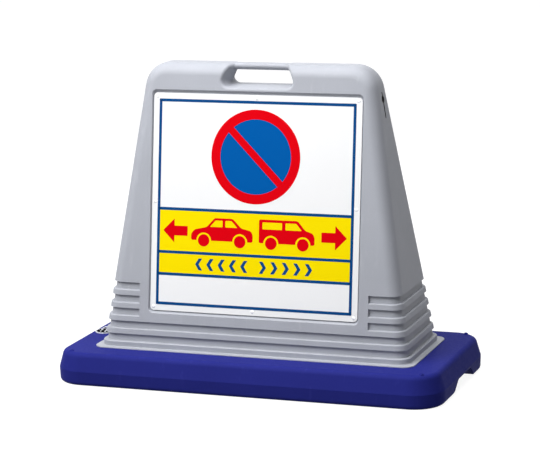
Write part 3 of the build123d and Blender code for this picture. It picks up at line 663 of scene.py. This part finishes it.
class STAND_OT_pictograms(bpy.types.Operator):
    """Print plain vehicles, arrows and chevrons in the bands of both boards"""
    bl_idname = "sign_stand.pictograms"
    bl_label = "Pictograms"

    def execute(self, context):
        look = context.scene.board_print
        broad = (look.upper_rule + look.middle_rule) / 2 / MM
        narrow = (look.middle_rule + look.lower_rule) / 2 / MM
        red = ink_material("ink_red", look.sign_red)
        yellow = ink_material("ink_yellow", look.band_yellow)
        blue = ink_material("ink_rule_blue", look.rule_blue)
        for face in FACES:
            for vehicle in VEHICLES:
                self.vehicle(face, vehicle, broad, red, yellow)
            mesh = bmesh.new()
            for flip in (1, -1):
                outline(mesh, ARROW, ARROW_ROUND, 1.0, (-ARROW_PLACE * flip, broad), flip)
            ink_piece(face, "arrows", mesh, FIGURE, red)
            mesh = bmesh.new()
            for flip in (1, -1):
                for index in range(look.chevrons):
                    place = (-flip * (CHEVRON_PLACE + CHEVRON_STEP * index), narrow)
                    outline(mesh, CHEVRON, CHEVRON_ROUND, 1.0, place, flip)
            ink_piece(face, "chevrons", mesh, FIGURE, blue)
        return {"FINISHED"}

    def vehicle(self, face, vehicle, level, red, yellow):
        """Print a vehicle's body, then its windows and wheel arches, then its wheels."""
        name, body, windows, wheels, place = vehicle
        hub_level = level - WHEEL_DROP * VEHICLE_SCALE
        hubs = [(place + wheel * VEHICLE_SCALE, hub_level) for wheel in wheels]
        mesh = bmesh.new()
        outline(mesh, body, VEHICLE_ROUND, VEHICLE_SCALE, (place, level))
        ink_piece(face, f"{name}_body", mesh, FIGURE, red)
        mesh = bmesh.new()
        for window in windows:
            outline(mesh, window, WINDOW_ROUND, VEHICLE_SCALE, (place, level))
        for hub in hubs:
            disc(mesh, ARCH_RADIUS * VEHICLE_SCALE, hub)
        ink_piece(face, f"{name}_windows", mesh, DETAIL, yellow)
        mesh = bmesh.new()
        for hub in hubs:
            disc(mesh, WHEEL_RADIUS * VEHICLE_SCALE, hub)
        ink_piece(face, f"{name}_wheels", mesh, LAST, red)


class STAND_OT_stage(bpy.types.Operator):
    """Set up the pale floor, the studio light and the camera"""
    bl_idname = "sign_stand.stage"
    bl_label = "Studio"

    def execute(self, context):
        studio = context.scene.studio
        self.floor(context.scene, studio)
        self.surround(context.scene, studio)
        self.lights(context.scene, studio)
        self.camera(context.scene, studio)
        context.scene.view_settings.view_transform = "Standard"
        return {"FINISHED"}

    def seen(self, tree):
        """One for rays that show the background: straight, mirrored or through glass."""
        path = tree.nodes.new("ShaderNodeLightPath")
        total = path.outputs["Is Camera Ray"]
        for ray in ("Is Glossy Ray", "Is Transmission Ray"):
            total = sums(tree, "MAXIMUM", total, path.outputs[ray])
        return total

    def floor(self, scene, studio):
        mesh = bmesh.new()
        bmesh.ops.create_grid(mesh, x_segments=1, y_segments=1, size=studio.floor_reach)
        bmesh.ops.translate(mesh, verts=mesh.verts, vec=(0, 0, -FLOOR_DROP))
        data = bpy.data.meshes.new("studio_floor")
        mesh.to_mesh(data)
        mesh.free()
        data.materials.append(self.floor_finish(studio))
        floor = bpy.data.objects.new("studio_floor", data)
        scene.collection.objects.link(floor)

    def floor_finish(self, studio):
        """A grey floor for the light on the stand, which shows as white."""
        material = bpy.data.materials.new("studio_floor")
        material.use_nodes = True
        tree = material.node_tree
        tree.nodes.clear()
        diffuse = tree.nodes.new("ShaderNodeBsdfDiffuse")
        glow = node(tree, "ShaderNodeEmission", Strength=studio.floor_glow)
        mix = tree.nodes.new("ShaderNodeMixShader")
        out = tree.nodes.new("ShaderNodeOutputMaterial")
        seen = self.seen(tree)
        link(tree, mixed(tree, seen, FLOOR_UNSEEN, FLOOR_SEEN), diffuse.inputs["Color"])
        link(tree, spread(tree, seen, 0.0, FLOOR_GLOW_SHARE, 0.0, 1.0), mix.inputs[0])
        link(tree, diffuse.outputs[0], mix.inputs[1])
        link(tree, glow.outputs[0], mix.inputs[2])
        link(tree, mix.outputs[0], out.inputs["Surface"])
        return material

    def surround(self, scene, studio):
        world = scene.world or bpy.data.worlds.new("studio_surround")
        scene.world = world
        world.use_nodes = True
        tree = world.node_tree
        background = tree.nodes["Background"]
        background.inputs["Color"].default_value = (1, 1, 1, 1)
        white = spread(tree, self.seen(tree), studio.surround, 1.0, 0.0, 1.0)
        link(tree, white, background.inputs["Strength"])

    def lights(self, scene, studio):
        top = bpy.data.lights.new("overhead_light", "SUN")
        top.energy = studio.top_light
        top.angle = math.radians(SUN_SPREAD)
        self.aim(scene, top, SUN_PLACE, Vector((0, 0, 0)))
        self.softbox(scene, "front_softbox", studio.key_light, *FRONT_SOFTBOX)
        self.softbox(scene, "head_softbox", studio.head_light, *HEAD_SOFTBOX)
        back = self.softbox(scene, "back_softbox", studio.back_light, *BACK_SOFTBOX)
        back.visible_glossy = False

    def softbox(self, scene, name, watts, place, target):
        lamp = bpy.data.lights.new(name, "AREA")
        lamp.energy = watts
        lamp.shape = "RECTANGLE"
        lamp.size, lamp.size_y = SOFTBOX_SIZE
        return self.aim(scene, lamp, place, target)

    def aim(self, scene, data, place, target):
        lamp = bpy.data.objects.new(data.name, data)
        lamp.location = place
        lamp.rotation_euler = (target - place).to_track_quat("-Z", "Y").to_euler()
        scene.collection.objects.link(lamp)
        return lamp

    def camera(self, scene, studio):
        data = bpy.data.cameras.new("photo_camera")
        data.sensor_fit = "HORIZONTAL"
        data.sensor_width = SENSOR_WIDTH
        data.lens = studio.focal_length
        camera = bpy.data.objects.new("photo_camera", data)
        angles = (CAMERA_YAW, CAMERA_PITCH, CAMERA_ROLL)
        yaw, pitch, roll = (math.radians(angle) for angle in angles)
        flat = math.cos(pitch)
        ahead = Vector((-math.sin(yaw) * flat, math.cos(yaw) * flat, -math.sin(pitch)))
        level = Vector((math.cos(yaw), math.sin(yaw), 0))
        above = level.cross(ahead)
        right = math.cos(roll) * level + math.sin(roll) * above
        up = -math.sin(roll) * level + math.cos(roll) * above
        turn = Matrix((right, up, -ahead)).transposed().to_4x4()
        camera.matrix_world = Matrix.Translation(CAMERA_PLACE) @ turn
        scene.collection.objects.link(camera)
        scene.camera = camera


class STAND_PT_sidebar(bpy.types.Panel):
    """Lists the steps that dress the stand"""
    bl_idname = "STAND_PT_sidebar"
    bl_label = "Sign Stand"
    bl_space_type = "VIEW_3D"
    bl_region_type = "UI"
    bl_category = "Sign Stand"

    def draw(self, context):
        for operator in STEPS:
            self.layout.operator(operator.bl_idname)
        for name in GROUPS:
            group = getattr(context.scene, name)
            box = self.layout.box()
            for key in group.__annotations__:
                box.prop(group, key)


GROUPS = {"stand_plastics": StandPlastics, "board_print": BoardPrint, "studio": Studio}
STEPS = (STAND_OT_body, STAND_OT_tank, STAND_OT_boards, STAND_OT_fasteners, STAND_OT_filler,
         STAND_OT_frame_print, STAND_OT_roundel, STAND_OT_pictograms, STAND_OT_stage)


def register():
    for made in (*GROUPS.values(), *STEPS, STAND_PT_sidebar):
        bpy.utils.register_class(made)
    for name, group in GROUPS.items():
        setattr(bpy.types.Scene, name, PointerProperty(type=group))


def unregister():
    for name in GROUPS:
        delattr(bpy.types.Scene, name)
    for made in (STAND_PT_sidebar, *reversed(STEPS), *reversed(GROUPS.values())):
        bpy.utils.unregister_class(made)


def main():
    register()
    for step in ("body", "tank", "boards", "fasteners", "filler", "frame_print", "roundel",
                 "pictograms", "stage"):
        getattr(bpy.ops.sign_stand, step)()


if __name__ == "__main__":
    main()
